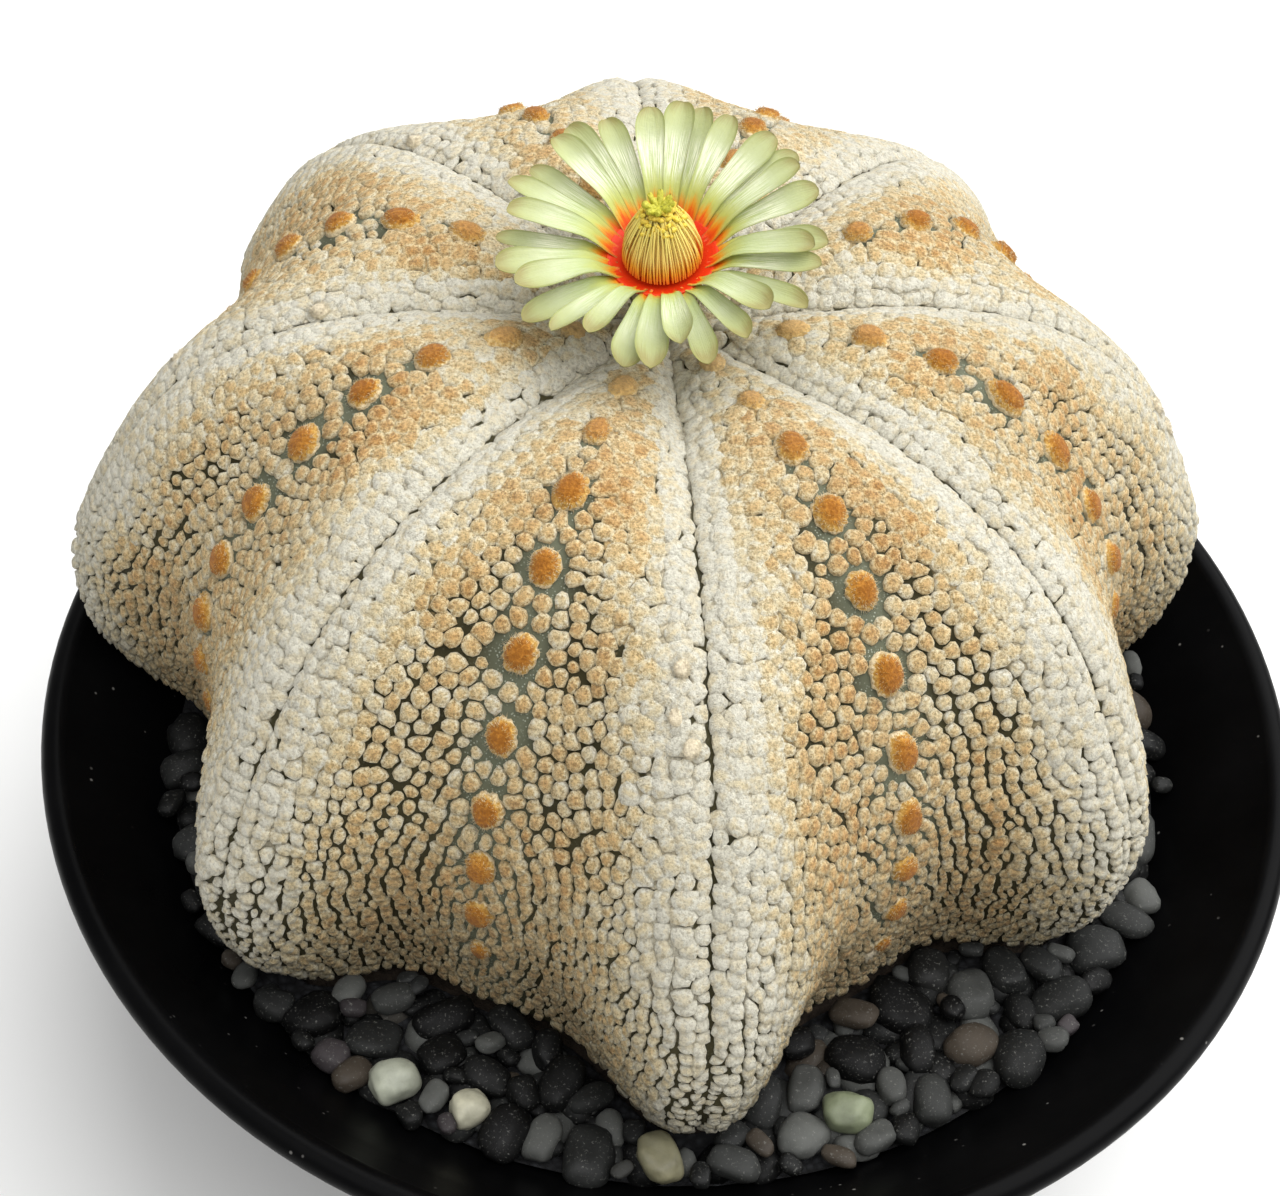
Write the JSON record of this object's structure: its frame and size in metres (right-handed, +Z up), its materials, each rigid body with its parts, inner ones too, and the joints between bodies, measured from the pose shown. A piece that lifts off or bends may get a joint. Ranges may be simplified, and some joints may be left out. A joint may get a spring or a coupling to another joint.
{
  "type": "potted star cactus",
  "caption": "Eight-armed felted star cactus with one open pale yellow flower, in a wide shallow black bowl filled with dark pebbles.",
  "frame": {"origin": "middle of the pot's flat underside, on the pot's axis", "axes": "+Z up along the pot's axis; -Y towards the front arm of the plant, the side the picture shows; +X to the right"},
  "size_m": [0.1698, 0.178, 0.1331],
  "materials": {
    "black_glaze": "satin",
    "soil": "matte, crumbly",
    "slate_pebbles": "smooth, matte",
    "white_pebble": "smooth, matte",
    "cream_pebble": "smooth, matte",
    "green_pebble": "smooth, matte",
    "olive_pebble": "smooth, matte",
    "felted_skin": "felted",
    "woolly_tube": "woolly",
    "petals": "silky",
    "stamens": "powdery",
    "stigma": "soft"
  },
  "bodies": {
    "root": {"pot": "black_glaze", "soil": "soil", "gravel": "slate_pebbles", "pebble_white": "white_pebble", "pebble_cream": "cream_pebble", "pebble_green": "green_pebble", "pebble_olive": "olive_pebble", "cactus_body": "felted_skin", "flower_tube": "woolly_tube", "flower_petals": "petals", "flower_stamens": "stamens", "flower_stigma": "stigma"}
  },
  "joints": []
}
